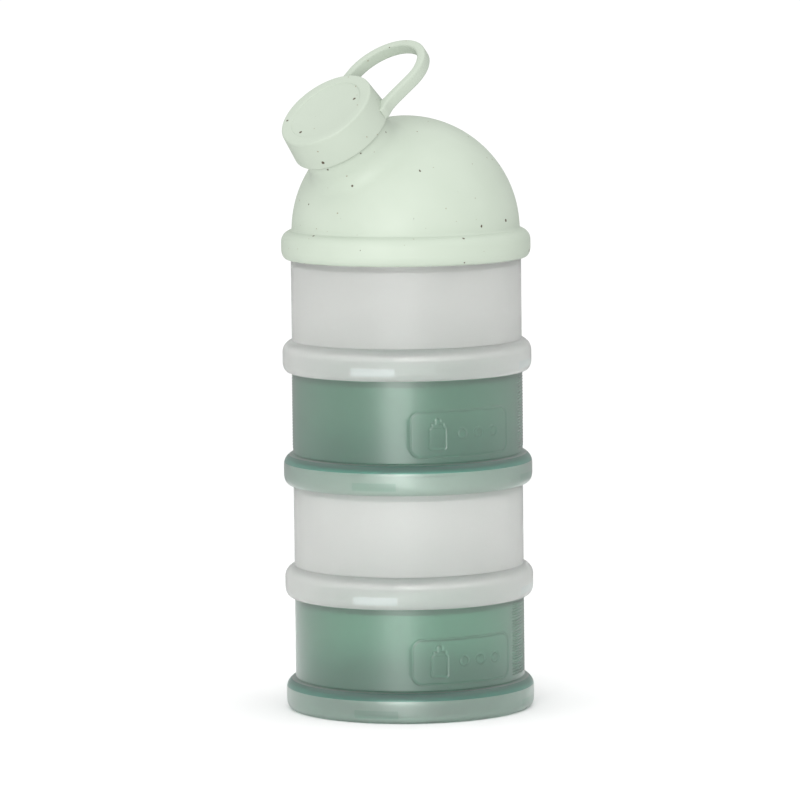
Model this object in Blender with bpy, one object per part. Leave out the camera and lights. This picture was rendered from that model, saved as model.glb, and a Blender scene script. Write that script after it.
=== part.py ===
"""Stacking formula dispenser.

Four compartments lock onto each other with a quarter turn. A domed lid with a tilted spout locks onto the
top one in the same way, and a screw cap with a carrying loop closes the spout. A soft ring seals each joint.

Units are millimetres here and metres in the scene. +Z is up, and the origin is the centre of the base.
"""

from math import asin, atan2, cos, degrees, pi, radians, sin, sqrt, tan

import bmesh
import bpy
from mathutils import Matrix

MM = 0.001

# Stack
COMPARTMENTS = 4
PITCH = 36.3                 # height that each compartment adds to the stack
WALL_R = 36.95               # outside of the straight wall
WALL = 1.5                   # wall and floor thickness
FLANGE_REACH = 3.05          # how far the skirt's flange stands out from the wall
FLANGE_ROUND = 4.1           # radius that runs from the flange into the wall
FLANGE_DROP = 1.25           # that radius's centre below the floor's underside
SKIRT_H = 7.5                # floor's underside above the skirt's lower edge
SKIRT_EDGE_H = 3.2           # height of the rounding of the skirt's lower edge
LIP_W = 0.75                 # flat ring that the skirt stands on
LIP_GAP = 0.4                # between the wall below and the skirt around it
FLOOR_FILLET = 1.4           # inside corner of the floor
CHAMFER = 0.4                # small chamfer of a rim or a ring

# Neck, seal and quarter-turn thread of each joint
NECK_STEP = 1.15             # neck's outside, in from the wall's
NECK_WALL = 1.5
NECK_BASE = 0.3              # neck's shoulder above the lower edge of the skirt around it
NECK_ROOT = 0.8              # how far the neck's bore reaches down past its shoulder
NECK_TAPER = 1.6             # height over which the inside of the wall runs into that bore
REST_GAP = 0.3               # between pieces that rest on each other
SEAL_T = 1.0
SEAL_EDGE = 0.2              # seal's outer edge, in from the neck's outside
PLUG_GAP = 0.9               # between the neck's bore and the ring under the floor that centres the seal
PLUG_WALL = 1.2
PLUG_H = 2.7
LUGS = 4
LUG_AZIMUTH = 253.5          # centre of one lug, anticlockwise from +X
LUG_ARC = 24.0               # degrees
LUG_DROP = 4.0               # lug's lower face below the rim of the neck that it holds
LUG_H = 2.2
LUG_REACH = 1.2              # how far a lug stands into the skirt
LEAD = 24.4                  # rise per full turn of the lock
RIDGE_GAP = 0.6              # between a ridge's crest and the skirt
RIDGE_T = 1.2
RIDGE_START = -42.0          # low end of a ridge from its lug's centre, in degrees
RIDGE_MARGIN = 0.2           # between a ridge's high end and the neck's rim
THREAD_GAP = 0.25            # between a lug and the ridge over it
ROOT = 0.65                  # how deep a lug or ridge is rooted in its wall

# Lid
DOME_STEP = 0.35             # dome's outside, in from the wall's
DOME_WALL = 1.6
DOME_LIFT = 1.44             # dome's centre above the floor's underside
LID_ROUND = 3.6              # radius that runs from the lid's flange up to the dome
LID_DROP = 1.9               # that radius's centre below the floor's underside
DOME_START = 6.0             # the dome's first point above its middle, in degrees
SHELF_STEP = 0.6             # shelf's inside above the floor's underside, at the plug ring
SHELF_RISE = 3.6             # and at the dome

# Spout, along an axis through the dome's centre
SPOUT_TILT = 41.0
SPOUT_AZIMUTH = 225.0
SPOUT_R = 13.2
SPOUT_WALL = 1.4
COLLAR_STEP = 1.8            # collar's outside, out from the spout's
COLLAR_FILLET = 7.0
COLLAR_GAP = 0.5             # between the collar and the cap's lower edge
SPOUT_BURY = 1.0             # how far the spout's foot draws in below the dome's skin

# Cap
CAP_STAND = 16.55            # cap's top above the dome, along the spout's axis
CAP_H = 10.35
THREAD_ROOM = 1.4            # between the spout and the cap's bore
CAP_WALL = 1.4
CAP_FLARE = 0.9              # how much wider the cap is at its lower edge
CAP_ROOF = 1.6
CAP_EDGE = 0.6               # bevel around the cap's upper and lower edges
RECESS_RIM = 3.8             # width of the rim around the recess in the cap's top
RECESS_D = 0.35
LINER_T = 1.0
LINER_GAP = 0.4              # between the soft liner and the cap's bore
LINER_LAP = 1.0              # how far the liner reaches in past the spout's bore
CAP_LUGS = 2
CAP_LUG_AZIMUTH = 90.0
CAP_LUG_ARC = 36.0
CAP_LUG_LOW = 1.1            # lug's lower face above the cap's lower edge
CAP_LUG_H = 1.4
CAP_LUG_REACH = 1.05
CAP_LEAD = 12.4
CAP_RIDGE_GAP = 0.6
CAP_RIDGE_START = -58.0
CAP_RIDGE_END = 78.0

# Carrying loop, a band in one piece with the cap
LOOP_INSET = 0.7             # outside of the loop's round end, in from the cap's radius
LOOP_STAND = 9.0             # round end's centre, out from the cap's edge
LOOP_WALL = 2.9
LOOP_H = 4.2
LOOP_SPLAY = 5.0             # how far the arms open towards the round end, in degrees
LOOP_TURN = -4.0             # how far the loop stands round the cap from straight above the spout, in degrees
LOOP_DROOP = 2.5             # how far the loop leans towards the dome, in degrees
LOOP_BURY = 8.0              # inner end of the arms, in from the cap's edge

SEGMENTS = 40
SPOUT_SEGMENTS = 32
FINE = 0.3                   # overshoot of a cutter past the face it opens
BAR_STEP = 9.0               # degrees between the sections of a lug or ridge

# Sizes that follow
FLANGE_R = WALL_R + FLANGE_REACH
SKIRT_BORE_R = WALL_R + LIP_GAP
INNER_R = WALL_R - WALL
NECK_R = WALL_R - NECK_STEP
NECK_BORE_R = NECK_R - NECK_WALL
RIM = SKIRT_H - REST_GAP - SEAL_T - REST_GAP          # neck's rim, from the lower edge of the skirt around it
PLUG_R = NECK_BORE_R - PLUG_GAP
PLUG_BORE_R = PLUG_R - PLUG_WALL
LUG_LOW = RIM - LUG_DROP
RIDGE_R = SKIRT_BORE_R - RIDGE_GAP
DOME_R = WALL_R - DOME_STEP
DOME_RISE = SKIRT_H + DOME_LIFT                       # dome's centre above the lid's lower edge
LID_BASE = COMPARTMENTS * PITCH
DOME_CENTRE = LID_BASE + DOME_RISE
CAP_TOP = DOME_R + CAP_STAND                          # these four from the dome's centre
CAP_BASE = CAP_TOP - CAP_H
LINER_BASE = CAP_TOP - CAP_ROOF - REST_GAP - LINER_T
SPOUT_RIM = LINER_BASE - REST_GAP
SPOUT_BORE_R = SPOUT_R - SPOUT_WALL
COLLAR_R = SPOUT_R + COLLAR_STEP
CAP_BORE_R = SPOUT_R + THREAD_ROOM
CAP_TOP_R = CAP_BORE_R + CAP_WALL
CAP_BASE_R = CAP_TOP_R + CAP_FLARE
CAP_RIDGE_R = CAP_BORE_R - CAP_RIDGE_GAP
RECESS_R = CAP_TOP_R - RECESS_RIM
LINER_R = CAP_BORE_R - LINER_GAP
LINER_BORE_R = SPOUT_BORE_R - LINER_LAP
LOOP_R = CAP_TOP_R - LOOP_INSET
LOOP_CENTRE = CAP_TOP_R + LOOP_STAND                  # from the cap's axis
LOOP_ROOT = CAP_TOP_R - LOOP_BURY

GREEN = (0.30, 0.40, 0.32)
WHITE = (0.66, 0.68, 0.64)
PALE_GREEN = (0.69, 0.77, 0.66)
SILICONE = (0.80, 0.82, 0.80)


def clear_scene():
    for obj in list(bpy.data.objects):
        bpy.data.objects.remove(obj, do_unlink=True)


def plastic(name, colour, roughness):
    """A moulded plastic of one colour."""
    material = bpy.data.materials.new(name)
    material.use_nodes = True
    shader = material.node_tree.nodes["Principled BSDF"]
    shader.inputs["Base Color"].default_value = (*colour, 1.0)
    shader.inputs["Roughness"].default_value = roughness
    shader.inputs["Metallic"].default_value = 0.0
    return material


def arc(centre, radii, start, end, steps):
    """Points of an elliptical arc in (radius, height), from one angle to another in degrees."""
    points = []
    for step in range(steps + 1):
        angle = radians(start + (end - start) * step / steps)
        points.append((centre[0] + radii[0] * cos(angle), centre[1] + radii[1] * sin(angle)))
    return points


def new_object(name, bm):
    """An object holding a bmesh given in millimetres, scaled to metres and shaded smooth."""
    bmesh.ops.remove_doubles(bm, verts=bm.verts, dist=0.001)
    bmesh.ops.recalc_face_normals(bm, faces=bm.faces)
    bmesh.ops.scale(bm, vec=(MM, MM, MM), verts=bm.verts)
    mesh = bpy.data.meshes.new(name)
    bm.to_mesh(mesh)
    bm.free()
    obj = bpy.data.objects.new(name, mesh)
    bpy.context.scene.collection.objects.link(obj)
    return obj


def turned(name, profile, segments, closed=True):
    """A solid turned about Z from a profile of (radius, height). An open profile ends on the axis."""
    bm = bmesh.new()
    verts = [bm.verts.new((r, 0.0, z)) for r, z in profile]
    edges = [bm.edges.new(pair) for pair in zip(verts, verts[1:])]
    if closed:
        edges.append(bm.edges.new((verts[-1], verts[0])))
    bmesh.ops.spin(bm, geom=verts + edges, cent=(0, 0, 0), axis=(0, 0, 1), angle=2 * pi, steps=segments,
                   use_merge=True)
    return new_object(name, bm)


def add_bar(bm, centre, start, end, inner, outer, low, height, slope=0.0):
    """Adds a bar of rectangular section that follows a circle or, with a slope in mm per degree, a helix.

    low is its lower face at the azimuth centre. start and end are degrees from centre.
    """
    steps = max(3, round((end - start) / BAR_STEP))
    sections = []
    for step in range(steps + 1):
        offset = start + (end - start) * step / steps
        angle = radians(centre + offset)
        z = low + slope * offset
        corners = ((inner, z), (outer, z), (outer, z + height), (inner, z + height))
        sections.append([bm.verts.new((r * cos(angle), r * sin(angle), h)) for r, h in corners])
    for a, b in zip(sections, sections[1:]):
        for k in range(4):
            bm.faces.new((a[k], a[(k + 1) % 4], b[(k + 1) % 4], b[k]))
    bm.faces.new(sections[0])
    bm.faces.new(sections[-1])


def combine(target, tool, operation):
    """Joins a tool to the target, or cuts with it, and removes the tool."""
    modifier = target.modifiers.new(operation.lower(), "BOOLEAN")
    modifier.operation = operation
    modifier.solver = "EXACT"
    modifier.object = tool
    bpy.context.view_layer.update()
    evaluated = target.evaluated_get(bpy.context.evaluated_depsgraph_get())
    mesh = bpy.data.meshes.new_from_object(evaluated)
    target.modifiers.remove(modifier)
    target.data = mesh
    bpy.data.objects.remove(tool, do_unlink=True)


def finish(obj, material, parent=None):
    """Gives an object its material, its shading and its parent."""
    if not obj.data.materials:
        obj.data.materials.append(material)
    obj.material_slots[0].link = "OBJECT"
    obj.material_slots[0].material = material
    obj.data.shade_smooth()
    obj.data.set_sharp_from_angle(angle=radians(35))
    obj.parent = parent


def pivot(name, height, tilt=0.0, azimuth=0.0):
    """An empty on a joint's axis, its Z along the axis."""
    empty = bpy.data.objects.new(name, None)
    turn = Matrix.Rotation(radians(azimuth), 4, "Z") @ Matrix.Rotation(radians(tilt), 4, "Y")
    empty.matrix_world = Matrix.Translation((0, 0, height * MM)) @ turn
    bpy.context.scene.collection.objects.link(empty)
    return empty


def skirt_outline(drop, rounding, top_r):
    """Outside of a skirt: its flat lower edge, the rounding above that, the band, and the run into the wall.

    drop is how far the run's centre lies below the floor's underside.
    """
    edge = (SKIRT_BORE_R + LIP_W, SKIRT_EDGE_H)
    across = FLANGE_R - edge[0]
    shoulder = FLANGE_R - rounding
    reach = 90.0 - degrees(asin((top_r - shoulder) / rounding))
    lower = arc(edge, (across, SKIRT_EDGE_H), -90.0, 0.0, 3)
    upper = arc((shoulder, SKIRT_H - drop), (rounding, rounding), 0.0, reach, 3)
    return [(SKIRT_BORE_R, 0.0)] + lower + upper


def plug_outline():
    """The ring under a floor or shelf, from its inner to its outer side, and on to the skirt's inside."""
    low = SKIRT_H - PLUG_H
    return [
        (PLUG_BORE_R, low),
        (PLUG_R - CHAMFER, low),
        (PLUG_R, low + CHAMFER),
        (PLUG_R, SKIRT_H),
        (SKIRT_BORE_R, SKIRT_H),
    ]


def add_skirt_lugs(bm):
    for lug in range(LUGS):
        azimuth = LUG_AZIMUTH + 360.0 * lug / LUGS
        add_bar(bm, azimuth, -LUG_ARC / 2, LUG_ARC / 2, SKIRT_BORE_R - LUG_REACH, SKIRT_BORE_R + ROOT, LUG_LOW, LUG_H)


def add_neck_ridges(bm):
    """Ridges of the neck. The lugs of the skirt above run under them as it turns and rises."""
    slope = LEAD / 360.0
    low = PITCH + LUG_LOW + LUG_H + THREAD_GAP + slope * LUG_ARC / 2
    end = (PITCH + RIM - RIDGE_MARGIN - RIDGE_T - low) / slope
    for lug in range(LUGS):
        azimuth = LUG_AZIMUTH + 360.0 * lug / LUGS
        add_bar(bm, azimuth, RIDGE_START, end, NECK_R - ROOT, RIDGE_R, low, RIDGE_T, slope)


def compartment_mesh():
    """One compartment, its skirt standing on z = 0."""
    floor = SKIRT_H + WALL
    shoulder = PITCH + NECK_BASE
    rim = PITCH + RIM
    bore_low = shoulder - NECK_ROOT
    profile = [(0.0, SKIRT_H), (PLUG_BORE_R, SKIRT_H)] + plug_outline()
    profile += skirt_outline(FLANGE_DROP, FLANGE_ROUND, WALL_R)
    profile += [
        (WALL_R, shoulder),
        (NECK_R, shoulder),
        (NECK_R, rim - CHAMFER),
        (NECK_R - CHAMFER, rim),
        (NECK_BORE_R, rim),
        (NECK_BORE_R, bore_low),
        (INNER_R, bore_low - NECK_TAPER),
    ]
    profile += arc((INNER_R - FLOOR_FILLET, floor + FLOOR_FILLET), (FLOOR_FILLET, FLOOR_FILLET), 0.0, -90.0, 2)
    profile.append((0.0, floor))
    body = turned("compartment", profile, SEGMENTS, closed=False)
    bm = bmesh.new()
    add_skirt_lugs(bm)
    add_neck_ridges(bm)
    combine(body, new_object("lock", bm), "UNION")
    mesh = body.data
    bpy.data.objects.remove(body, do_unlink=True)
    return mesh


def seal_mesh():
    """The ring between a neck's rim and the floor above it, standing on z = 0."""
    outer = NECK_R - SEAL_EDGE
    inner = PLUG_R + REST_GAP
    profile = [(inner, 0.0), (outer, 0.0), (outer, SEAL_T), (inner, SEAL_T)]
    seal = turned("seal", profile, SEGMENTS)
    mesh = seal.data
    bpy.data.objects.remove(seal, do_unlink=True)
    return mesh


def place(name, mesh, material, parent, height=0.0):
    obj = bpy.data.objects.new(name, mesh)
    bpy.context.scene.collection.objects.link(obj)
    finish(obj, material, parent)
    obj.location = (0, 0, height * MM)
    return obj


def along_spout(obj):
    """Moves an object from the spout's own frame to the lid's: Z along the spout, from the dome's centre."""
    turn = Matrix.Rotation(radians(SPOUT_AZIMUTH), 4, "Z") @ Matrix.Rotation(radians(SPOUT_TILT), 4, "Y")
    obj.matrix_world = Matrix.Translation((0, 0, DOME_RISE * MM)) @ turn


def spout_solid():
    """The spout before it is bored: collar, fillet down to the dome, tube and its two ridges."""
    centre_r = COLLAR_R + COLLAR_FILLET
    centre_z = sqrt((DOME_R + COLLAR_FILLET) ** 2 - centre_r ** 2)
    foot = degrees(atan2(centre_z, centre_r))
    collar_top = CAP_BASE - COLLAR_GAP
    fillet = arc((centre_r, centre_z), (COLLAR_FILLET, COLLAR_FILLET), 180.0 + foot, 180.0, 5)
    low_r = fillet[0][0] - SPOUT_BURY
    low = fillet[0][1] - DOME_WALL * 2
    profile = [(0.0, low), (low_r, low)] + fillet + [
        (COLLAR_R, collar_top),
        (SPOUT_R, collar_top),
        (SPOUT_R, SPOUT_RIM - CHAMFER),
        (SPOUT_R - CHAMFER, SPOUT_RIM),
        (0.0, SPOUT_RIM),
    ]
    spout = turned("spout", profile, SPOUT_SEGMENTS, closed=False)
    bm = bmesh.new()
    slope = CAP_LEAD / 360.0
    low = CAP_BASE + CAP_LUG_LOW + CAP_LUG_H + THREAD_GAP + slope * CAP_LUG_ARC / 2
    for lug in range(CAP_LUGS):
        azimuth = CAP_LUG_AZIMUTH + 360.0 * lug / CAP_LUGS
        add_bar(bm, azimuth, CAP_RIDGE_START, CAP_RIDGE_END, SPOUT_R - ROOT, CAP_RIDGE_R, low, RIDGE_T, slope)
    combine(spout, new_object("spout_ridges", bm), "UNION")
    return spout


def lid_object():
    """The domed lid, its skirt standing on z = 0."""
    skirt = skirt_outline(LID_DROP, LID_ROUND, DOME_R)
    skirt[0] = (0.0, 0.0)
    dome = arc((0.0, DOME_RISE), (DOME_R, DOME_R), DOME_START, 90.0, 9)[:-1]
    lid = turned("dome_lid", skirt + dome + [(0.0, DOME_RISE + DOME_R)], SEGMENTS, closed=False)
    spout = spout_solid()
    along_spout(spout)
    combine(lid, spout, "UNION")

    inner = DOME_R - DOME_WALL
    start = degrees(asin((SHELF_RISE + SKIRT_H - DOME_RISE) / inner))
    cavity = [(0.0, -FINE), (SKIRT_BORE_R, -FINE), (SKIRT_BORE_R, SKIRT_H)]
    cavity += list(reversed(plug_outline()[:-1]))
    cavity += [(PLUG_BORE_R, SKIRT_H + SHELF_STEP)]
    cavity += arc((0.0, DOME_RISE), (inner, inner), start, 90.0, 8)[:-1]
    cavity += [(0.0, DOME_RISE + inner)]
    combine(lid, turned("cavity", cavity, SEGMENTS, closed=False), "DIFFERENCE")

    low = sqrt(inner ** 2 - SPOUT_R ** 2) - SPOUT_R
    high = SPOUT_RIM + FINE
    bore = [(0.0, low), (SPOUT_BORE_R, low), (SPOUT_BORE_R, high), (0.0, high)]
    cutter = turned("bore", bore, SPOUT_SEGMENTS, closed=False)
    along_spout(cutter)
    combine(lid, cutter, "DIFFERENCE")

    bm = bmesh.new()
    add_skirt_lugs(bm)
    combine(lid, new_object("lid_lugs", bm), "UNION")
    return lid


def loop_solid():
    """The carrying loop: two arms that splay out from the cap and a round end, leaning towards the dome."""
    def edge(radius):
        swing = 90.0 + LOOP_SPLAY
        points = arc((LOOP_CENTRE, 0.0), (radius, radius), swing, -swing, 12)
        run = (points[0][0] - LOOP_ROOT) * tan(radians(LOOP_SPLAY))
        return [(LOOP_ROOT, points[0][1] - run)] + points + [(LOOP_ROOT, -points[0][1] + run)]

    bm = bmesh.new()
    outer = edge(LOOP_R)
    inner = edge(LOOP_R - LOOP_WALL)
    sections = []
    for near, far in zip(inner, outer):
        section = []
        for (out, side), level in ((near, 0.0), (far, 0.0), (far, LOOP_H), (near, LOOP_H)):
            z = CAP_BASE + level - max(0.0, out - CAP_TOP_R) * tan(radians(LOOP_DROOP))
            section.append(bm.verts.new((-out, side, z)))
        sections.append(section)
    for a, b in zip(sections, sections[1:]):
        for k in range(4):
            bm.faces.new((a[k], a[(k + 1) % 4], b[(k + 1) % 4], b[k]))
    bm.faces.new(sections[0])
    bm.faces.new(sections[-1])
    bmesh.ops.rotate(bm, cent=(0, 0, 0), matrix=Matrix.Rotation(radians(LOOP_TURN), 3, "Z"), verts=bm.verts)
    return new_object("loop", bm)


def cap_object():
    """The screw cap with its loop, in the spout's own frame."""
    profile = [
        (0.0, CAP_TOP - RECESS_D),
        (RECESS_R, CAP_TOP - RECESS_D),
        (RECESS_R + RECESS_D, CAP_TOP),
        (CAP_TOP_R - CAP_EDGE, CAP_TOP),
        (CAP_TOP_R, CAP_TOP - CAP_EDGE),
        (CAP_BASE_R, CAP_BASE + CAP_EDGE),
        (CAP_BASE_R - CAP_EDGE, CAP_BASE),
        (0.0, CAP_BASE),
    ]
    cap = turned("cap", profile, SPOUT_SEGMENTS, closed=False)
    combine(cap, loop_solid(), "UNION")
    roof = CAP_TOP - CAP_ROOF
    below = CAP_BASE - LOOP_H                         # clears the loop's arms, which droop past the cap's edge
    hollow = [(0.0, below), (CAP_BORE_R, below), (CAP_BORE_R, roof), (0.0, roof)]
    combine(cap, turned("hollow", hollow, SPOUT_SEGMENTS, closed=False), "DIFFERENCE")
    bm = bmesh.new()
    for lug in range(CAP_LUGS):
        azimuth = CAP_LUG_AZIMUTH + 360.0 * lug / CAP_LUGS
        add_bar(bm, azimuth, -CAP_LUG_ARC / 2, CAP_LUG_ARC / 2, CAP_BORE_R - CAP_LUG_REACH, CAP_BORE_R + ROOT,
                CAP_BASE + CAP_LUG_LOW, CAP_LUG_H)
    combine(cap, new_object("cap_lugs", bm), "UNION")
    return cap


def build():
    clear_scene()
    green = plastic("green_translucent", GREEN, 0.35)
    white = plastic("white_frosted", WHITE, 0.45)
    pale = plastic("pale_green_speckled", PALE_GREEN, 0.5)
    cap_pale = plastic("cap_pale_green", PALE_GREEN, 0.5)
    soft = plastic("silicone", SILICONE, 0.6)

    compartment = compartment_mesh()
    seal = seal_mesh()
    for level in range(COMPARTMENTS):
        number = COMPARTMENTS - level
        base = level * PITCH
        joint = pivot(f"stack_axis_{number}", base)
        material = green if number % 2 == 0 else white
        place(f"compartment_{number}", compartment, material, joint)
        place(f"seal_ring_{number}", seal, soft, joint, PITCH + RIM + REST_GAP)

    lid_axis = pivot("lid_axis", LID_BASE)
    finish(lid_object(), pale, lid_axis)

    spout_axis = pivot("spout_axis", DOME_CENTRE, SPOUT_TILT, SPOUT_AZIMUTH)
    finish(cap_object(), cap_pale, spout_axis)
    liner_profile = [
        (LINER_BORE_R, LINER_BASE),
        (LINER_R, LINER_BASE),
        (LINER_R, LINER_BASE + LINER_T),
        (LINER_BORE_R, LINER_BASE + LINER_T),
    ]
    finish(turned("cap_seal", liner_profile, SPOUT_SEGMENTS), soft, spout_axis)
    bpy.context.view_layer.update()


build()
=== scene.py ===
from math import asin, atan2, ceil, cos, degrees, hypot, pi, radians, sin, sqrt, tan

import bmesh
import bpy
from mathutils import Matrix, Vector


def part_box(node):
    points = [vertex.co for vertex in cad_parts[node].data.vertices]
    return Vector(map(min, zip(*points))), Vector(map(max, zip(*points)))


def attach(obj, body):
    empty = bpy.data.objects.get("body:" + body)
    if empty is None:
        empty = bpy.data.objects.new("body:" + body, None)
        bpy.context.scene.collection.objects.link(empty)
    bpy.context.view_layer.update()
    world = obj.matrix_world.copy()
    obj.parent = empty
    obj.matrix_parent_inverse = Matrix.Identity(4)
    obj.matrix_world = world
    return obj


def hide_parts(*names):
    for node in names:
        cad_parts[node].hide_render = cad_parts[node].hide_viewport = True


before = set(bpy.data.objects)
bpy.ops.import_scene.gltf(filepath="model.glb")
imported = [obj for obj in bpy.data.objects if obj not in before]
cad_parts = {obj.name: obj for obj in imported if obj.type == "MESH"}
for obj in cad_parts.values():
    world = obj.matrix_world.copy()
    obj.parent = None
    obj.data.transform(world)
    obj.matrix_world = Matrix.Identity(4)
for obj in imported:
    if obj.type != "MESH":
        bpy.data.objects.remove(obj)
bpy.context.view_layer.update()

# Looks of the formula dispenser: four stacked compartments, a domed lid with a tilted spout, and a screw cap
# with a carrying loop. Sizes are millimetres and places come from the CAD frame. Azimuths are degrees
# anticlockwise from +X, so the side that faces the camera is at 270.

MM = 0.001

# Compartment, heights measured from its skirt's lower edge
PITCH = 36.3
FLANGE_R = 40.0
WALL_R = 36.95
WALL = 1.5
FLOOR_LOW = 7.5
SKIRT_BORE_R = 37.35
SKIRT_LIP = 0.75
SKIRT_EDGE_H = 3.2
FLANGE_FLAT = 3.05
FLANGE_ROUND = 4.1
NECK_R = 35.8
NECK_BORE_R = 34.3
NECK_BASE = 36.6
NECK_RIM = 42.2
PLUG_R = 33.4
PLUG_BORE_R = 32.2
PLUG_LOW = 4.8
SEAL_GAP = 0.3               # from the plug ring out to its soft seal

# Quarter-turn lock
LUGS = 4
LUG_AZIMUTH = 253.5
LUG_ARC = 24.0
LUG_LOW = 1.9
LUG_H = 2.2
LUG_REACH = 1.2
LEAD = 24.4
RIDGE_R = 36.75
RIDGE_T = 1.2
RIDGE_START = -42.0
RIDGE_END = 10.0
THREAD_GAP = 0.25
LUG_ROOT = 0.6               # run of a lug into its skirt
RIDGE_ROOT = 0.7             # run of a ridge, or a lug of the cap, into its wall
BAR_BEVEL = 0.22             # bevel along the edges of lugs and ridges
BAR_RAMP = 1.6               # degrees over which their ends narrow
BAR_NARROW = 0.45            # share of the height that each side of an end gives up
BAR_STEP = 1.5               # degrees from one section to the next

# Grip ribs and framed pictogram on the green compartments
RIB_PITCH = 0.97
RIB_DEPTH = 0.4
RIB_ARC = 24.0
RIB_LOW = 11.3
RIB_HIGH = 35.6
RIB_SIDE = 1.2               # degrees over which the ribs fade at their sides
RIB_FADE = 0.8               # mm over which they fade at the top and the bottom
RIB_AZIMUTH = {2: 355.0, 4: 345.0}
PANEL_AZIMUTH = 300.0
PANEL_W = 36.5
PANEL_H = 14.4
PANEL_MID = 19.3
PANEL_CORNER = 3.2
PANEL_LINE = 0.5
ENGRAVED = 0.22
BOTTLE_X = -9.5              # middle of the bottle, from the middle of the panel
DOTS_X = (-1.0, 5.2, 11.4)
DOT_R = 1.5

# Lid
DOME_R = 36.6
DOME_WALL = 1.6
DOME_RISE = 8.94
LID_FLAT = 2.4
LID_ROUND = 3.6
SHELF = 11.1

# Spout and cap, by the distance from the dome's centre along the spout's axis
SPOUT_TILT = 41.0
SPOUT_AZIMUTH = 225.0
SPOUT_R = 13.2
SPOUT_BORE_R = 11.8
SPOUT_RIM = 49.95
COLLAR_R = 15.0
COLLAR_TOP = 42.3
COLLAR_FILLET = 7.0
CAP_TOP = 53.15
CAP_BASE = 42.8
CAP_TOP_R = 16.0
CAP_BASE_R = 16.9
CAP_BORE_R = 14.6
CAP_ROOF = 1.6
CAP_EDGE = 0.75
RECESS_R = 12.2
RECESS_D = 0.35
CAP_LUGS = 2
CAP_LUG_AZIMUTH = 90.0
CAP_LUG_ARC = 36.0
CAP_LUG_LOW = 1.1
CAP_LUG_H = 1.4
CAP_LUG_REACH = 1.05
CAP_LEAD = 12.4
CAP_RIDGE_R = 14.0
CAP_RIDGE_START = -58.0
CAP_RIDGE_END = 78.0
LINER_R = 14.2
LINER_BORE_R = 10.8
LINER_BASE = 50.25
LINER_T = 1.0

# Carrying loop
LOOP_R = 15.3
LOOP_CENTRE = 25.0
LOOP_WALL = 2.9
LOOP_H = 4.2
LOOP_SPLAY = 5.0
LOOP_DROOP = 2.5
LOOP_TURN = -4.0             # degrees about the spout's axis
LOOP_ROOT = 8.0
LOOP_ROUND = 0.8
LOOP_FLARE = 1.1             # widening of an arm where it meets the cap
LOOP_FLARE_RUN = 3.0

# Camera, aimed from the front and a little above
CAMERA_AZIMUTH = 0.7
CAMERA_ELEVATION = 6.036
CAMERA_DISTANCE = 1834.3
CAMERA_LENS = 256.55
CAMERA_ROLL = -0.62
CAMERA_AIM = (-2.391, 99.18)
CAMERA_CLIP = 50.0           # metres

# Light and floor. The world's strength changes with the direction, and the camera sees a strength of its own
WORLD_SIDE = 1.0
WORLD_BACK = 0.5
WORLD_FRONT = 0.9
WORLD_TOP = 1.5
WORLD_SEEN = 1.05
WORLD_TURN = (0.2, 0.9)      # run from the side's strength to the back's and the front's
WORLD_RISE = (0.4, 0.9)      # run from those to the top's
KEY_PLACE = (-0.25, -1.6, 0.3)
KEY_AIM = (0.0, 0.0, 0.1)
KEY_SIZE = (0.85, 0.6)
KEY_POWER = 15.0
FLOOR_R = 300.0
FLOOR_TONE = 0.92
FLOOR_CLOUD = 0.03
FLOOR_ROUGHNESS = (0.7, 0.85)

# Plastic. Scales count a pattern's features along a metre, and a relief is a strength and a depth in mm
PLASTIC_IOR = 1.49
COAT_IOR = 1.6
COAT_ROUGHNESS = 0.4
CLOUD_SCALE = 45.0
FLECK_SCALE = 900.0
FLECK_SHARE = 0.12
GLOSS_SCALE = 120.0
UNEVEN_CLEAR = 0.015         # change of roughness over a clear plastic, and over a solid one
UNEVEN_SOLID = 0.05
GRAIN_SCALE = 2600.0
GRAIN_RELIEF = (0.25, 0.03)
WAVE_SCALE = 55.0
WAVE_RELIEF = (0.12, 0.25)
SPECK_WOBBLE_SCALE = 1400.0
SPECK_WOBBLE = 0.5           # mm by which a speck's outline wanders
SPECK_SMALLEST = 0.45        # smallest speck, as a share of the largest
SPECK_EDGE = 0.22            # softness of its edge, as a share of the same
FOOT_PAINTED_SHADE = (10.0, 28.0)    # run of the wall's painted shade, darker towards its foot, from the skirt's lower edge
SKIRT_PAINTED_LIGHT_TOP = 9.8              # top of the skirt's painted light, a paler tone
FLOOR_EDGE_PAINTED_SHADE = (7.4, 9.5)     # painted shade: a dark line where the floor's edge stands behind the wall
FLOOR_SKIN = 0.05            # keeps the skirt's lower edge out of the next piece below
BAR_SHORT = 1.6              # a lug's painted light stops so many degrees short of its ends, which look rounded off
BAR_SHIFT = 1.0              # and that painted light lies so many degrees further round than the lug stands
BAR_EDGE = 0.3               # softness of the edges of the painted light and shade: the floor's dark line, the skirt's top and a lug's outline

# Steps of the meshes
FILLET_STEP = 15.0
SKIRT_STEPS = 12
ROUND_COLUMNS = 240
PLAIN_COLUMN = 1.6           # degrees between columns on plain wall, on the ribs and on the panel
RIB_COLUMN = 0.8
PANEL_COLUMN = 0.34
LAST_COLUMN = 0.3            # least gap from the last column on to the first
PLAIN_ROWS = 24
RIB_ROWS = 6                 # rows to a rib
COLLAR_STEPS = 16
DOME_ROWS = 48
DOME_INNER_ROWS = 36
LOOP_ARM_STEPS = 24
LOOP_BEND_STEPS = 96
LOOP_ROUND_STEPS = 4
SHARP_ANGLE = 32.0


# Outlines and meshes

def arc(centre, radii, start, end, steps):
    """Points of an elliptical arc in (radius, height), from one angle to another in degrees."""
    points = []
    for step in range(steps + 1):
        angle = radians(start + (end - start) * step / steps)
        points.append((centre[0] + radii[0] * cos(angle), centre[1] + radii[1] * sin(angle)))
    return points


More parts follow.
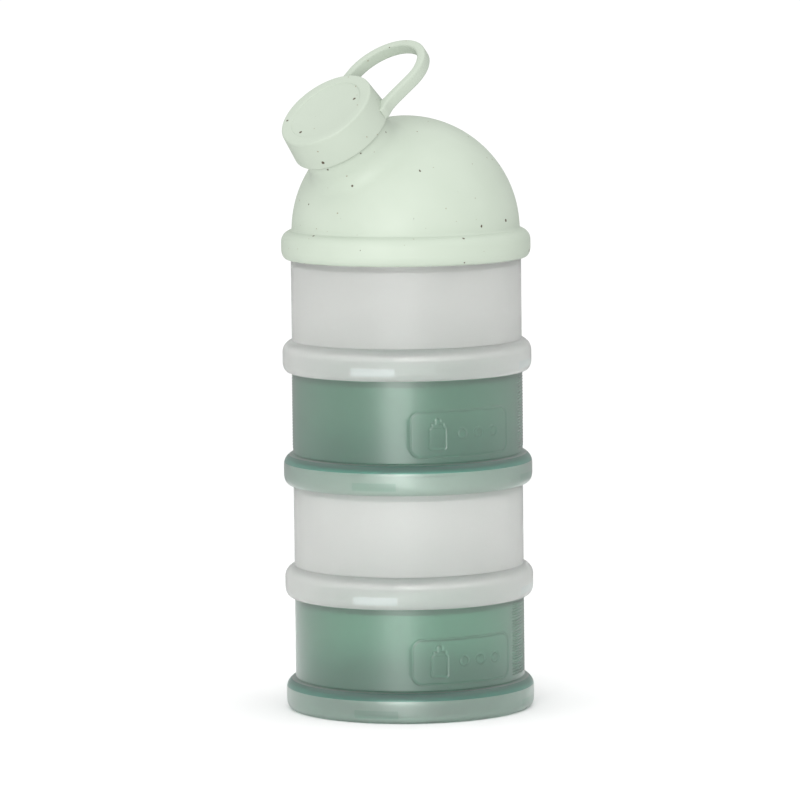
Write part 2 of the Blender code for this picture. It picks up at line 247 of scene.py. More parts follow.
def rounded(corners):
    """A path through corners of (radius, height, fillet), with an arc at each corner that has a fillet."""
    path = []
    for k, (r, z, fillet) in enumerate(corners):
        if fillet == 0.0:
            path.append((r, z))
            continue
        corner = Vector((r, z))
        back = (Vector(corners[k - 1][:2]) - corner).normalized()
        on = (Vector(corners[(k + 1) % len(corners)][:2]) - corner).normalized()
        half = back.angle(on) / 2
        start = corner + back * fillet / tan(half)
        end = corner + on * fillet / tan(half)
        centre = corner + (back + on).normalized() * fillet / sin(half)
        first = atan2(start.y - centre.y, start.x - centre.x)
        sweep = (atan2(end.y - centre.y, end.x - centre.x) - first + pi) % (2 * pi) - pi
        steps = max(2, ceil(abs(degrees(sweep)) / FILLET_STEP))
        for step in range(steps + 1):
            angle = first + sweep * step / steps
            path.append((centre.x + fillet * cos(angle), centre.y + fillet * sin(angle)))
    return path


def even_columns(count):
    return [360.0 * k / count for k in range(count)]


def ring(radius, height, columns):
    return [Vector((radius * cos(radians(a)), radius * sin(radians(a)), height)) for a in columns]


def smooth(value):
    value = min(1.0, max(0.0, value))
    return value * value * (3 - 2 * value)


def piece(name, bm, lift=0.0, turn=None):
    """An object from a bmesh in millimetres, moved to its place in the frame, in metres."""
    bmesh.ops.remove_doubles(bm, verts=bm.verts, dist=0.0005)
    bmesh.ops.recalc_face_normals(bm, faces=bm.faces)
    place = Matrix.Translation((0, 0, lift)) @ (turn or Matrix.Identity(4))
    bmesh.ops.transform(bm, matrix=Matrix.Scale(MM, 4) @ place, verts=bm.verts)
    mesh = bpy.data.meshes.new(name)
    bm.to_mesh(mesh)
    bm.free()
    obj = bpy.data.objects.new(name, mesh)
    bpy.context.scene.collection.objects.link(obj)
    return obj


def skin(rings, closed=True):
    """A bmesh that joins each ring of points to the next. A closed one joins the last ring to the first,
    and an open one closes on a point in the middle of its end rings."""
    bm = bmesh.new()
    rows = [[bm.verts.new(p) for p in points] for points in rings]
    count = len(rows[0])
    pairs = list(zip(rows, rows[1:]))
    if closed:
        pairs.append((rows[-1], rows[0]))
    for a, b in pairs:
        for k in range(count):
            bm.faces.new((a[k], a[(k + 1) % count], b[(k + 1) % count], b[k]))
    if not closed:
        for row in (rows[0], rows[-1]):
            middle = bm.verts.new(sum((v.co for v in row), Vector()) / count)
            for k in range(count):
                bm.faces.new((row[k], row[(k + 1) % count], middle))
    return bm


def turned(name, path, columns, closed=True, lift=0.0, turn=None):
    """A piece turned about an upright axis from a path of (radius, height)."""
    rings = [ring(r, z, columns) for r, z in path]
    return piece(name, skin(rings, closed), lift, turn)


def bar(name, centre, start, end, inner, outer, low, height, slope=0.0, lift=0.0, turn=None):
    """A bar that follows a circle or helix, with bevelled edges and ends that narrow."""
    sections = []
    steps = max(8, round((end - start) / BAR_STEP))
    for step in range(steps + 1):
        offset = start + (end - start) * step / steps
        angle = radians(centre + offset)
        z = low + slope * offset
        near = min(offset - start, end - offset)
        shrink = BAR_NARROW * (1.0 - smooth(near / BAR_RAMP))
        bottom = z + height * shrink
        top = z + height * (1.0 - shrink)
        corners = (
            (inner, bottom + BAR_BEVEL), (inner + BAR_BEVEL, bottom),
            (outer - BAR_BEVEL, bottom), (outer, bottom + BAR_BEVEL),
            (outer, top - BAR_BEVEL), (outer - BAR_BEVEL, top),
            (inner + BAR_BEVEL, top), (inner, top - BAR_BEVEL),
        )
        sections.append([Vector((r * cos(angle), r * sin(angle), h)) for r, h in corners])
    return piece(name, skin(sections, closed=False), lift, turn)


def combine(target, tool, operation="UNION"):
    """Joins a tool to the target, or cuts with it, and removes the tool."""
    modifier = target.modifiers.new(operation.lower(), "BOOLEAN")
    modifier.operation = operation
    modifier.solver = "MANIFOLD"
    modifier.object = tool
    bpy.context.view_layer.update()
    evaluated = target.evaluated_get(bpy.context.evaluated_depsgraph_get())
    mesh = bpy.data.meshes.new_from_object(evaluated)
    target.modifiers.remove(modifier)
    target.data = mesh
    bpy.data.objects.remove(tool, do_unlink=True)


def finish(obj, material, body, node):
    """Shades a piece, gives it its material and body, and puts it in place of its CAD node."""
    obj.data.materials.clear()
    obj.data.materials.append(material)
    obj.data.shade_smooth()
    obj.data.set_sharp_from_angle(angle=radians(SHARP_ANGLE))
    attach(obj, body)
    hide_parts(node)


def skirt_path(flat, rounding, top_r):
    """Outside of a skirt, from the wall down: the run out of the wall, the band and the lower edge."""
    shoulder = FLANGE_R - rounding
    reach = 90.0 - degrees(asin((top_r - shoulder) / rounding))
    edge_r = SKIRT_BORE_R + SKIRT_LIP
    upper = arc((shoulder, SKIRT_EDGE_H + flat), (rounding, rounding), reach, 0.0, SKIRT_STEPS)
    lower = arc((edge_r, SKIRT_EDGE_H), (FLANGE_R - edge_r, SKIRT_EDGE_H), 0.0, -90.0, SKIRT_STEPS)
    return upper + lower


def plug_path():
    """From the skirt's lower edge up its bore, across under the floor, and round the plug ring."""
    return rounded([
        (SKIRT_BORE_R + SKIRT_LIP, 0.0, 0.0),
        (SKIRT_BORE_R, 0.0, 0.15),
        (SKIRT_BORE_R, FLOOR_LOW, 0.35),
        (PLUG_R, FLOOR_LOW, 0.35),
        (PLUG_R, PLUG_LOW, 0.4),
        (PLUG_BORE_R, PLUG_LOW, 0.3),
        (PLUG_BORE_R, FLOOR_LOW, 0.0),
    ])[1:-1]


def skirt_lug(azimuth, base):
    """One of the quarter-turn lock's lugs, inside a skirt."""
    return bar("lug", azimuth, -LUG_ARC / 2, LUG_ARC / 2, SKIRT_BORE_R - LUG_REACH, SKIRT_BORE_R + LUG_ROOT,
               LUG_LOW, LUG_H, lift=base)


# Compartments

def box_distance(x, y, half_w, half_h, corner):
    """Distance to a rounded rectangle, negative inside."""
    dx = abs(x) - half_w + corner
    dy = abs(y) - half_h + corner
    return hypot(max(dx, 0.0), max(dy, 0.0)) + min(max(dx, dy), 0.0) - corner


def panel_relief(x, y):
    """Depth engraved in the wall: a frame, the outline of a plain feeding bottle and three rings."""
    frame_line = abs(box_distance(x, y, PANEL_W / 2, PANEL_H / 2, PANEL_CORNER))
    bx = x - BOTTLE_X
    bottle = min(
        box_distance(bx, y + 1.3, 2.7, 3.6, 1.0),
        box_distance(bx, y - 2.6, 2.0, 0.9, 0.3),
        box_distance(bx, y - 3.6, 0.9, 1.7, 0.9),
    )
    dots = min(abs(hypot(x - centre, y) - DOT_R) for centre in DOTS_X)
    nearest = min(frame_line, abs(bottle), dots)
    return -ENGRAVED * smooth((PANEL_LINE - nearest) / PANEL_LINE * 1.4)


def rib_relief(azimuth, z, centre):
    """Height of the grip ribs, on two opposite stretches of the wall."""
    away = abs((azimuth - centre + 90.0) % 180.0 - 90.0)
    across = smooth((RIB_ARC / 2 - away) / RIB_SIDE)
    along = smooth((z - RIB_LOW) / RIB_FADE) * smooth((RIB_HIGH - z) / RIB_FADE)
    wave = 0.5 - 0.5 * cos(2 * pi * (z - RIB_LOW) / RIB_PITCH)
    return RIB_DEPTH * across * along * (wave - 0.5)


def detail_columns(rib_azimuth):
    """Azimuths of the mesh's upright lines, close together where the wall has ribs or the panel."""
    columns = []
    azimuth = 0.0
    panel_half = degrees(PANEL_W / 2 / WALL_R) + 1.5
    while azimuth < 360.0 - LAST_COLUMN:
        columns.append(azimuth)
        from_ribs = abs((azimuth - rib_azimuth + 90.0) % 180.0 - 90.0)
        if abs(azimuth - PANEL_AZIMUTH) < panel_half:
            azimuth += PANEL_COLUMN
        elif from_ribs < RIB_ARC / 2 + 1.0:
            azimuth += RIB_COLUMN
        else:
            azimuth += PLAIN_COLUMN
    return columns


def compartment(name, base, detail):
    """One compartment: cup, neck with ridges, skirt with lugs. detail is the ribs' azimuth, or None."""
    columns = even_columns(ROUND_COLUMNS) if detail is None else detail_columns(detail)
    floor = FLOOR_LOW + WALL
    inner_r = WALL_R - WALL
    inside = rounded([
        (0.4, floor, 0.0), (16.0, floor, 0.0),
        (inner_r, floor, 1.6), (inner_r, NECK_BASE - 2.4, 0.0), (NECK_BORE_R, NECK_BASE - 0.8, 0.0),
        (NECK_BORE_R, NECK_RIM, 0.35), (NECK_R, NECK_RIM, 0.4), (NECK_R, NECK_BASE, 0.25),
        (WALL_R, NECK_BASE, 0.3), (WALL_R, NECK_BASE - 2.0, 0.0),
    ])[:-1]
    outside = skirt_path(FLANGE_FLAT, FLANGE_ROUND, WALL_R)
    top = NECK_BASE - 0.5
    bottom = outside[0][1] + 0.1
    rows = PLAIN_ROWS if detail is None else round((top - bottom) / (RIB_PITCH / RIB_ROWS))
    wall = [top + (bottom - top) * k / rows for k in range(rows + 1)]
    under = rounded([
        (PLUG_BORE_R, PLUG_LOW + 0.5, 0.0), (PLUG_BORE_R, FLOOR_LOW, 0.35), (24.6, FLOOR_LOW, 0.12),
        (24.2, FLOOR_LOW + 0.25, 0.12), (23.0, FLOOR_LOW + 0.25, 0.12), (22.6, FLOOR_LOW, 0.12),
        (3.0, FLOOR_LOW, 0.15), (2.6, FLOOR_LOW + 0.3, 0.15), (0.4, FLOOR_LOW + 0.3, 0.0),
    ])
    rings = [ring(r, z, columns) for r, z in inside]
    for z in wall:
        points = []
        for azimuth in columns:
            r = WALL_R
            if detail is not None:
                r += rib_relief(azimuth, z, detail)
                along = radians(azimuth - PANEL_AZIMUTH) * WALL_R
                if abs(along) < PANEL_W / 2 + 1.0 and abs(z - PANEL_MID) < PANEL_H / 2 + 1.0:
                    r += panel_relief(along, z - PANEL_MID)
            points.append(Vector((r * cos(radians(azimuth)), r * sin(radians(azimuth)), z)))
        rings.append(points)
    rings += [ring(r, z, columns) for r, z in outside[:-1] + plug_path() + under]
    body = piece(name, skin(rings, closed=False), lift=base)
    slope = LEAD / 360.0
    ridge_low = PITCH + LUG_LOW + LUG_H + THREAD_GAP + slope * LUG_ARC / 2
    for lug in range(LUGS):
        azimuth = LUG_AZIMUTH + 360.0 * lug / LUGS
        combine(body, skirt_lug(azimuth, base))
        combine(body, bar("ridge", azimuth, RIDGE_START, RIDGE_END, NECK_R - RIDGE_ROOT, RIDGE_R, ridge_low,
                          RIDGE_T, slope, lift=base))
    return body


# Lid and spout

def spout_turn():
    """From the spout's own axes, measured from the dome's centre, to the lid's."""
    turn = Matrix.Rotation(radians(SPOUT_AZIMUTH), 4, "Z") @ Matrix.Rotation(radians(SPOUT_TILT), 4, "Y")
    return Matrix.Translation((0, 0, DOME_RISE)) @ turn


def between(start, end, radius, steps):
    """Rings on the dome's sphere between two rings of directions, without the two ends."""
    rings = []
    for step in range(1, steps):
        share = step / steps
        points = []
        for a, b in zip(start, end):
            angle = a.angle(b)
            way = (a * sin((1 - share) * angle) + b * sin(share * angle)) / sin(angle)
            points.append(Vector((0, 0, DOME_RISE)) + way * radius)
        rings.append(points)
    return rings


def lid(name, base):
    """The domed lid with its spout, one skin of rings: each ring starts on the spout's side of the column."""
    turn = spout_turn()
    turns = even_columns(ROUND_COLUMNS)
    centre = Vector((0, 0, DOME_RISE))
    tilt = radians(SPOUT_TILT)
    columns = []
    for angle in turns:
        psi = radians(angle)
        columns.append(SPOUT_AZIMUTH + degrees(atan2(sin(psi), cos(psi) / cos(tilt))))

    def around_spout(path):
        return [[turn @ p for p in ring(r, z, turns)] for r, z in path]

    def directions(points):
        return [(p - centre).normalized() for p in points]

    fillet_r = COLLAR_R + COLLAR_FILLET
    fillet_z = sqrt((DOME_R + COLLAR_FILLET) ** 2 - fillet_r ** 2)
    foot = degrees(atan2(fillet_z, fillet_r))
    fillet = arc((fillet_r, fillet_z), (COLLAR_FILLET, COLLAR_FILLET), 180.0, 180.0 + foot, COLLAR_STEPS)
    spout = rounded([
        (SPOUT_BORE_R, SPOUT_RIM - 3.0, 0.0), (SPOUT_BORE_R, SPOUT_RIM, 0.35), (SPOUT_R, SPOUT_RIM, 0.4),
        (SPOUT_R, COLLAR_TOP, 0.3), (COLLAR_R, COLLAR_TOP, 0.35), (COLLAR_R, fillet_z, 0.0),
    ])[:-1] + fillet
    rings = around_spout(spout)

    skirt = skirt_path(LID_FLAT, LID_ROUND, DOME_R)
    seat_z = skirt[0][1]
    seat = rounded([
        (DOME_R, seat_z + 3.0, 0.0), (DOME_R, seat_z, 0.9), (DOME_R + 1.4, seat_z - 0.12, 0.0),
    ])[1:-1]
    seat[0] = (sqrt(DOME_R ** 2 - (seat[0][1] - DOME_RISE) ** 2), seat[0][1])
    seat_ring = ring(*seat[0], columns)
    rings += between(directions(rings[-1]), directions(seat_ring), DOME_R, DOME_ROWS)
    lower = [p for p in skirt if p[0] > seat[-1][0] + 0.2]
    rings += [ring(r, z, columns) for r, z in seat + lower[:-1] + plug_path()]

    inner = DOME_R - DOME_WALL
    shelf_r = sqrt(inner ** 2 - (SHELF - DOME_RISE) ** 2)
    shelf = rounded([
        (PLUG_BORE_R, PLUG_LOW + 0.5, 0.0), (PLUG_BORE_R, FLOOR_LOW + 0.6, 0.3), (shelf_r, SHELF, 0.0),
    ])
    rings += [ring(r, z, columns) for r, z in shelf]
    mouth = around_spout([(SPOUT_BORE_R, sqrt(inner ** 2 - SPOUT_BORE_R ** 2))])[0]
    rings += between(directions(rings[-1]), directions(mouth), inner, DOME_INNER_ROWS)
    rings.append(mouth)
    body = piece(name, skin(rings), lift=base)

    lift = Matrix.Translation((0, 0, base))
    slope = CAP_LEAD / 360.0
    low = CAP_BASE + CAP_LUG_LOW + CAP_LUG_H + THREAD_GAP + slope * CAP_LUG_ARC / 2
    for lug in range(CAP_LUGS):
        azimuth = CAP_LUG_AZIMUTH + 360.0 * lug / CAP_LUGS
        combine(body, bar("ridge", azimuth, CAP_RIDGE_START, CAP_RIDGE_END, SPOUT_R - RIDGE_ROOT, CAP_RIDGE_R,
                          low, RIDGE_T, slope, turn=lift @ turn))
    for lug in range(LUGS):
        combine(body, skirt_lug(LUG_AZIMUTH + 360.0 * lug / LUGS, base))
    return body


# Cap, loop and soft rings

def loop(turn):
    """The carrying loop: two arms that splay out from the cap and a round end, leaning towards the dome."""
    splay = radians(LOOP_SPLAY)
    swing = pi / 2 + splay
    middle_r = LOOP_R - LOOP_WALL / 2
    corner = Vector((LOOP_CENTRE + middle_r * cos(swing), middle_r * sin(swing)))
    root = Vector((LOOP_ROOT, corner.y - (corner.x - LOOP_ROOT) * tan(splay)))
    arm = [root.lerp(corner, k / LOOP_ARM_STEPS) for k in range(LOOP_ARM_STEPS)]
    bend = []
    for k in range(LOOP_BEND_STEPS + 1):
        angle = swing - 2 * swing * k / LOOP_BEND_STEPS
        bend.append(Vector((LOOP_CENTRE + middle_r * cos(angle), middle_r * sin(angle))))
    middle = arm + bend + [Vector((p.x, -p.y)) for p in reversed(arm)]
    sections = []
    for k, point in enumerate(middle):
        ahead = middle[min(k + 1, len(middle) - 1)] - middle[max(k - 1, 0)]
        side = Vector((ahead.y, -ahead.x)).normalized()
        from_cap = point.length - CAP_TOP_R
        flare = LOOP_FLARE * max(0.0, 1.0 - max(0.0, from_cap) / LOOP_FLARE_RUN) ** 2
        half = LOOP_WALL / 2 + flare
        corners = [(-half, 0.0), (half, 0.0), (half, LOOP_H), (-half, LOOP_H)]
        section = []
        for c, (across, up) in enumerate(corners):
            inset_x = LOOP_ROUND if across < 0 else -LOOP_ROUND
            inset_z = LOOP_ROUND if up == 0.0 else -LOOP_ROUND
            for step in range(LOOP_ROUND_STEPS + 1):
                angle = radians(180.0 + 90.0 * c + 90.0 * step / LOOP_ROUND_STEPS)
                x = across + inset_x + LOOP_ROUND * cos(angle)
                z = up + inset_z + LOOP_ROUND * sin(angle)
                flat = point + side * x
                droop = max(0.0, flat.x - CAP_TOP_R) * tan(radians(LOOP_DROOP))
                section.append(Vector((-flat.x, flat.y, CAP_BASE + z - droop)))
        sections.append(section)
    twist = Matrix.Rotation(radians(LOOP_TURN), 4, "Z")
    return piece("loop", skin(sections, closed=False), turn=turn @ twist)


def cap(name, turn):
    """The screw cap with its loop."""
    columns = even_columns(ROUND_COLUMNS)
    roof = CAP_TOP - CAP_ROOF
    shell = rounded([
        (0.3, CAP_TOP - RECESS_D, 0.0), (RECESS_R, CAP_TOP - RECESS_D, 0.12),
        (RECESS_R + RECESS_D, CAP_TOP, 0.12), (CAP_TOP_R, CAP_TOP, CAP_EDGE),
        (CAP_BASE_R, CAP_BASE, 0.45), (CAP_BORE_R + 0.2, CAP_BASE, 0.0), (0.3, CAP_BASE, 0.0),
    ])
    body = turned(name, shell, columns, closed=False, turn=turn)
    combine(body, loop(turn))
    hollow = rounded([
        (0.3, CAP_BASE - 3.0, 0.0), (CAP_BORE_R + 0.5, CAP_BASE - 3.0, 0.0),
        (CAP_BORE_R, CAP_BASE + 0.5, 0.0), (CAP_BORE_R, roof, 0.4), (0.3, roof, 0.0),
    ])
    combine(body, turned("hollow", hollow, columns, closed=False, turn=turn), "DIFFERENCE")
    for lug in range(CAP_LUGS):
        azimuth = CAP_LUG_AZIMUTH + 360.0 * lug / CAP_LUGS
        combine(body, bar("lug", azimuth, -CAP_LUG_ARC / 2, CAP_LUG_ARC / 2, CAP_BORE_R - CAP_LUG_REACH,
                          CAP_BORE_R + RIDGE_ROOT, CAP_BASE + CAP_LUG_LOW, CAP_LUG_H, turn=turn))
    return body


def soft_ring(name, inner, outer, low, thickness, lift=0.0, turn=None):
    """A soft seal: a flat ring with round edges and two fine beads on its upper face."""
    high = low + thickness
    width = outer - inner
    path = rounded([
        (inner, low, 0.25), (outer, low, 0.25), (outer, high, 0.25), (inner + width * 0.7, high, 0.1),
        (inner + width * 0.6, high - 0.15, 0.1), (inner + width * 0.4, high - 0.15, 0.1),
        (inner + width * 0.3, high, 0.1), (inner, high, 0.25),
    ])
    return turned(name, path, even_columns(ROUND_COLUMNS), lift=lift, turn=turn)


# Materials

class Nodes:
    """Short calls for building the node tree of a material or a world."""

    def __init__(self, owner, coordinates="Object"):
        self.owner = owner
        owner.use_nodes = True
        self.tree = owner.node_tree
        self.place = self.add("ShaderNodeTexCoord").outputs[coordinates]

    def add(self, kind, **values):
        node = self.tree.nodes.new(kind)
        for key, value in values.items():
            setattr(node, key, value)
        return node

    def link(self, source, target):
        self.tree.links.new(source, target)

    def noise(self, scale, detail=2.0):
        node = self.add("ShaderNodeTexNoise")
        node.inputs["Scale"].default_value = scale
        node.inputs["Detail"].default_value = detail
        self.link(self.place, node.inputs["Vector"])
        return node.outputs["Fac"]

    def spread(self, value, low, high, to_low=0.0, to_high=1.0):
        """Maps the run from low to high smoothly onto another run."""
        node = self.add("ShaderNodeMapRange", interpolation_type="SMOOTHSTEP")
        self.link(value, node.inputs["Value"])
        for key, number in zip(("From Min", "From Max", "To Min", "To Max"), (low, high, to_low, to_high)):
            node.inputs[key].default_value = number
        return node.outputs["Result"]

    def math(self, operation, a, b=0.0):
        node = self.add("ShaderNodeMath", operation=operation)
        for socket, value in zip(node.inputs, (a, b)):
            if isinstance(value, (int, float)):
                socket.default_value = value
            else:
                self.link(value, socket)
        return node.outputs[0]

    def mix(self, factor, a, b):
        """A colour between a and b."""
        node = self.add("ShaderNodeMix", data_type="RGBA")
        for socket, value in zip((node.inputs[0], node.inputs[6], node.inputs[7]), (factor, a, b)):
            if isinstance(value, (int, float)):
                socket.default_value = value
            elif isinstance(value, tuple):
                socket.default_value = (*value, 1.0)
            else:
                self.link(value, socket)
        return node.outputs[2]

    def blend(self, factor, a, b):
        """A number between a and b."""
        node = self.add("ShaderNodeMix", data_type="FLOAT")
        for socket, value in zip((node.inputs[0], node.inputs[2], node.inputs[3]), (factor, a, b)):
            if isinstance(value, (int, float)):
                socket.default_value = value
            else:
                self.link(value, socket)
        return node.outputs[0]

    def axis(self, index):
        """One coordinate of the shaded point."""
        node = self.add("ShaderNodeSeparateXYZ")
        self.link(self.place, node.inputs[0])
        return node.outputs[index]

    def bump(self, height, strength, distance, normal=None):
        node = self.add("ShaderNodeBump")
        node.inputs["Strength"].default_value = strength
        node.inputs["Distance"].default_value = distance * MM
        self.link(height, node.inputs["Height"])
        if normal is not None:
            self.link(normal, node.inputs["Normal"])
        return node.outputs["Normal"]


def add_specks(nodes, colour, scale, size, share, shade):
    """Mixes scattered specks into a colour. share is the share of the pattern's cells that hold one."""
    wobble = nodes.add("ShaderNodeTexNoise")
    wobble.inputs["Scale"].default_value = SPECK_WOBBLE_SCALE
    nodes.link(nodes.place, wobble.inputs["Vector"])
    shift = nodes.add("ShaderNodeVectorMath", operation="MULTIPLY_ADD")
    nodes.link(wobble.outputs["Color"], shift.inputs[0])
    shift.inputs[1].default_value = (SPECK_WOBBLE * MM,) * 3
    nodes.link(nodes.place, shift.inputs[2])
    cells = nodes.add("ShaderNodeTexVoronoi")
    cells.inputs["Scale"].default_value = scale
    nodes.link(shift.outputs[0], cells.inputs["Vector"])
    chosen = nodes.add("ShaderNodeSeparateColor")
    nodes.link(cells.outputs["Color"], chosen.inputs[0])
    picked = nodes.math("LESS_THAN", chosen.outputs[0], share)
    radius = nodes.spread(chosen.outputs[1], 0.0, 1.0, size * SPECK_SMALLEST, size)
    inside = nodes.math("SUBTRACT", radius, cells.outputs["Distance"])
    soft = nodes.spread(inside, 0.0, size * SPECK_EDGE)
    return nodes.mix(nodes.math("MULTIPLY", soft, picked), colour, shade)


def within(nodes, value, low, high, edge):
    """A mask that is 1 between two values."""
    rise = nodes.spread(value, low - edge, low)
    fall = nodes.spread(value, high, high + edge, 1.0, 0.0)
    return nodes.math("MULTIPLY", rise, fall)


def height_in_piece(nodes, first_base):
    """Height in mm above the skirt's lower edge, for compartments that stand two pitches apart."""
    height = nodes.math("DIVIDE", nodes.axis(2), 2 * PITCH * MM)
    shift = (FLOOR_SKIN - first_base) / (2 * PITCH)
    return nodes.math("MULTIPLY", nodes.math("FRACT", nodes.math("ADD", height, shift)), 2 * PITCH)


def lug_light_mask(nodes, height):
    """A mask that is 1 where a lug stands behind the skirt, for the painted light of its thicker plastic."""
    angle = nodes.math("ARCTAN2", nodes.axis(1), nodes.axis(0))
    quarters = nodes.math("MULTIPLY", angle, LUGS / (2 * pi))
    first = LUGS * (2.0 - (LUG_AZIMUTH + BAR_SHIFT) / 360.0) + 0.5
    cell = nodes.math("FRACT", nodes.math("ADD", quarters, first))
    offset = nodes.math("MULTIPLY", nodes.math("ABSOLUTE", nodes.math("SUBTRACT", cell, 0.5)), 360.0 / LUGS)
    half = LUG_ARC / 2 - BAR_SHORT
    around = nodes.spread(offset, half - BAR_EDGE, half + BAR_EDGE, 1.0, 0.0)
    return nodes.math("MULTIPLY", around, within(nodes, height, LUG_LOW, LUG_LOW + LUG_H, BAR_EDGE))


def paint_light_and_shade(nodes, height, colour, painted_light_and_shade):
    """Paints shade into a colour at the wall's foot and the floor's edge, and paints light onto the skirt."""
    foot, edge, skirt = painted_light_and_shade
    # painted shade, darker towards the wall's foot
    colour = nodes.mix(nodes.spread(height, *FOOT_PAINTED_SHADE, 1.0, 0.0), colour, foot)
    # painted light, paler on the skirt
    low = nodes.spread(height, SKIRT_PAINTED_LIGHT_TOP - BAR_EDGE, SKIRT_PAINTED_LIGHT_TOP + BAR_EDGE, 1.0, 0.0)
    colour = nodes.mix(low, colour, skirt)
    # painted shade: a dark line at the floor's edge
    return nodes.mix(within(nodes, height, *FLOOR_EDGE_PAINTED_SHADE, BAR_EDGE), colour, edge)


def plastic(name, pale, deep, roughness, specular, transmission=0.0, coat=0.0, absorption=None, lug_painted_light=None,
            painted_light_and_shade=None, specks=()):
    """A moulded plastic: cloudy colour between two tones, uneven gloss and a fine moulded grain.

    absorption is the colour and density inside. lug_painted_light is the height of the lowest piece, and the
    painted tone and transmission where a lug stands behind the skirt, which stand in for the light its
    thicker plastic scatters.
    painted_light_and_shade, which needs it, holds the tones of the painted shade at the wall's foot, the
    painted shade of the floor's edge and the painted light on the skirt, as paint_light_and_shade() takes
    them. specks are add_specks()'s scale, size, share and colour for each kind of speck.
    """
    nodes = Nodes(bpy.data.materials.new(name))
    shader = nodes.tree.nodes["Principled BSDF"]
    shader.inputs["Transmission Weight"].default_value = transmission
    cloud = nodes.spread(nodes.noise(CLOUD_SCALE, 3.0), 0.3, 0.7)
    colour = nodes.mix(cloud, pale, deep)
    fleck = nodes.spread(nodes.noise(FLECK_SCALE), 0.62, 0.8)
    colour = nodes.mix(nodes.math("MULTIPLY", fleck, FLECK_SHARE), colour, deep)
    if lug_painted_light is not None:
        first_base, lug_light_tone, lug_light_transmission = lug_painted_light
        height = height_in_piece(nodes, first_base)
        lug = lug_light_mask(nodes, height)
        # painted light and shade by height: shade at the wall's foot and the floor's edge, light on the skirt
        if painted_light_and_shade is not None:
            colour = paint_light_and_shade(nodes, height, colour, painted_light_and_shade)
        # painted light where a lug stands behind the skirt, in tone and in transmission
        colour = nodes.mix(lug, colour, lug_light_tone)
        if lug_light_transmission != transmission:
            seen = nodes.blend(lug, transmission, lug_light_transmission)
            nodes.link(seen, shader.inputs["Transmission Weight"])
    for scale, size, share, tone in specks:
        colour = add_specks(nodes, colour, scale, size, share, tone)
    nodes.link(colour, shader.inputs["Base Color"])
    uneven = UNEVEN_CLEAR if transmission else UNEVEN_SOLID
    gloss = nodes.spread(nodes.noise(GLOSS_SCALE), 0.25, 0.75, roughness - uneven, roughness + uneven)
    nodes.link(gloss, shader.inputs["Roughness"])
    grain = nodes.bump(nodes.noise(GRAIN_SCALE), *GRAIN_RELIEF)
    waves = nodes.bump(nodes.noise(WAVE_SCALE, 1.0), *WAVE_RELIEF, grain)
    nodes.link(waves, shader.inputs["Normal"])
    shader.inputs["IOR"].default_value = PLASTIC_IOR
    shader.inputs["Specular IOR Level"].default_value = specular
    shader.inputs["Coat Weight"].default_value = coat
    shader.inputs["Coat IOR"].default_value = COAT_IOR
    shader.inputs["Coat Roughness"].default_value = COAT_ROUGHNESS
    if absorption is not None:
        inside, density = absorption
        volume = nodes.add("ShaderNodeVolumeAbsorption")
        volume.inputs["Color"].default_value = (*inside, 1.0)
        volume.inputs["Density"].default_value = density
        nodes.link(volume.outputs[0], nodes.tree.nodes["Material Output"].inputs["Volume"])
    return nodes.owner


def floor_material():
    """Matt white paper."""
    nodes = Nodes(bpy.data.materials.new("studio_floor"))
    shader = nodes.tree.nodes["Principled BSDF"]
    tone = nodes.mix(nodes.noise(3.0), (FLOOR_TONE,) * 3, (FLOOR_TONE + FLOOR_CLOUD,) * 3)
    nodes.link(tone, shader.inputs["Base Color"])
    nodes.link(nodes.spread(nodes.noise(40.0), 0.0, 1.0, *FLOOR_ROUGHNESS), shader.inputs["Roughness"])
    shader.inputs["Specular IOR Level"].default_value = 0.1
    return nodes.owner


# Camera, light and floor

def add_camera():
    """A long lens, a little above the dispenser's middle, with the photograph's slight roll."""
    rise = radians(CAMERA_ELEVATION)
    aim_x, aim_z = CAMERA_AIM
    away = Vector((aim_x, -CAMERA_DISTANCE * cos(rise), aim_z + CAMERA_DISTANCE * sin(rise)))
    around = Matrix.Rotation(radians(CAMERA_AZIMUTH), 4, "Z")
    tip = Matrix.Rotation(pi / 2 - rise, 4, "X")
    roll = Matrix.Rotation(radians(CAMERA_ROLL), 4, "Z")
    data = bpy.data.cameras.new("camera")
    data.lens = CAMERA_LENS
    data.clip_end = CAMERA_CLIP
    camera = bpy.data.objects.new("camera", data)
    camera.matrix_world = around @ Matrix.Translation(away * MM) @ tip @ roll
    bpy.context.scene.collection.objects.link(camera)
    bpy.context.scene.camera = camera


def add_softbox(name, place, aim, size, power):
    """A rectangular lamp. Places and sizes are metres, and the power is watts."""
    data = bpy.data.lights.new(name, "AREA")
    data.shape = "RECTANGLE"
    data.size = size[0]
    data.size_y = size[1]
    data.energy = power
    light = bpy.data.objects.new(name, data)
    light.location = place
    light.rotation_euler = (Vector(aim) - Vector(place)).to_track_quat("-Z", "Y").to_euler()
    bpy.context.scene.collection.objects.link(light)


def add_world():
    """Soft light from the front, the sides and above, dimmer behind. The camera itself sees white."""
    nodes = Nodes(bpy.data.worlds.new("studio"), "Generated")
    background = nodes.tree.nodes["Background"]
    along = nodes.axis(1)
    light = nodes.spread(along, *WORLD_TURN, WORLD_SIDE, WORLD_BACK)
    front = nodes.spread(along, -WORLD_TURN[1], -WORLD_TURN[0], 1.0, 0.0)
    light = nodes.blend(front, light, WORLD_FRONT)
    light = nodes.blend(nodes.spread(nodes.axis(2), *WORLD_RISE), light, WORLD_TOP)
    seen = nodes.add("ShaderNodeLightPath").outputs["Is Camera Ray"]
    nodes.link(nodes.blend(seen, light, WORLD_SEEN), background.inputs["Strength"])
    background.inputs["Color"].default_value = (1.0, 1.0, 1.0, 1.0)
    bpy.context.scene.world = nodes.owner


def add_floor():
    bm = bmesh.new()
    bmesh.ops.create_circle(bm, cap_ends=True, segments=96, radius=FLOOR_R)
    floor = piece("floor", bm)
    floor.data.materials.append(floor_material())


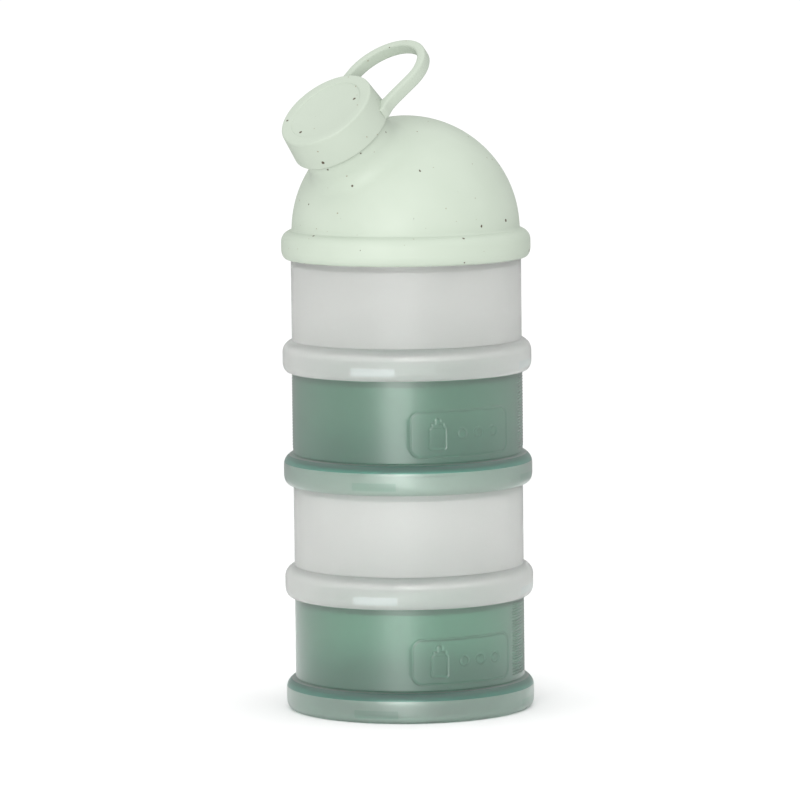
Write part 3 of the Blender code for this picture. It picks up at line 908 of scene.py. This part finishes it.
def build():
    """Makes the materials, then every piece in place of its CAD node."""
    # both plastics get painted light where a lug stands behind the skirt
    white = plastic("moulded_white", (0.94, 0.95, 0.93), (0.915, 0.925, 0.905), 0.5, 0.2, transmission=0.8,
                    lug_painted_light=(PITCH, (0.86, 0.90, 0.89), 0.66))
    # the green's painted shade at the wall's foot and at the floor's edge, and its painted light on the skirt
    green = plastic("moulded_green", (0.41, 0.64, 0.52), (0.38, 0.61, 0.49), 0.33, 0.6, transmission=0.92,
                    coat=0.75, absorption=((0.12, 0.5, 0.36), 120.0), lug_painted_light=(0.0, (0.72, 0.86, 0.78), 0.92),
                    painted_light_and_shade=((0.33, 0.575, 0.465), (0.09, 0.46, 0.36), (0.90, 0.98, 0.92)))
    specks = (
        (185.0, 0.115, 1.0, (0.08, 0.06, 0.04)),
        (320.0, 0.10, 0.55, (0.27, 0.24, 0.17)),
    )
    pale = plastic("moulded_pale_green", (0.46, 0.52, 0.44), (0.44, 0.50, 0.42), 0.5, 0.3, specks=specks)
    cap_pale = plastic("moulded_cap_green", (0.43, 0.485, 0.41), (0.415, 0.47, 0.395), 0.5, 0.3,
                       specks=specks)
    soft = plastic("soft_silicone", (0.80, 0.82, 0.80), (0.77, 0.79, 0.77), 0.6, 0.4)

    for number in (1, 2, 3, 4):
        node = f"compartment_{number}"
        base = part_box(node)[0].z / MM
        shell = compartment(f"compartment_shell_{number}", base, RIB_AZIMUTH.get(number))
        material, slot = (green, "green_translucent") if number % 2 == 0 else (white, "white_frosted")
        finish(shell, material, f"cup_{number}", node)
        node = f"seal_ring_{number}"
        low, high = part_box(node)
        seal = soft_ring(f"seal_{number}", PLUG_R + SEAL_GAP, high.x / MM, low.z / MM, (high.z - low.z) / MM)
        finish(seal, soft, f"ring_{number}", node)

    lid_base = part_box("dome_lid")[0].z / MM
    finish(lid("lid_shell", lid_base), pale, "lid", "dome_lid")
    turn = Matrix.Translation((0, 0, lid_base)) @ spout_turn()
    finish(cap("cap_shell", turn), cap_pale, "screw_cap", "cap")
    liner = soft_ring("cap_liner", LINER_BORE_R, LINER_R, LINER_BASE, LINER_T, turn=turn)
    finish(liner, soft, "liner", "cap_seal")


bpy.context.scene.view_settings.view_transform = "Standard"
build()
add_world()
add_softbox("key", KEY_PLACE, KEY_AIM, KEY_SIZE, KEY_POWER)
add_floor()
add_camera()
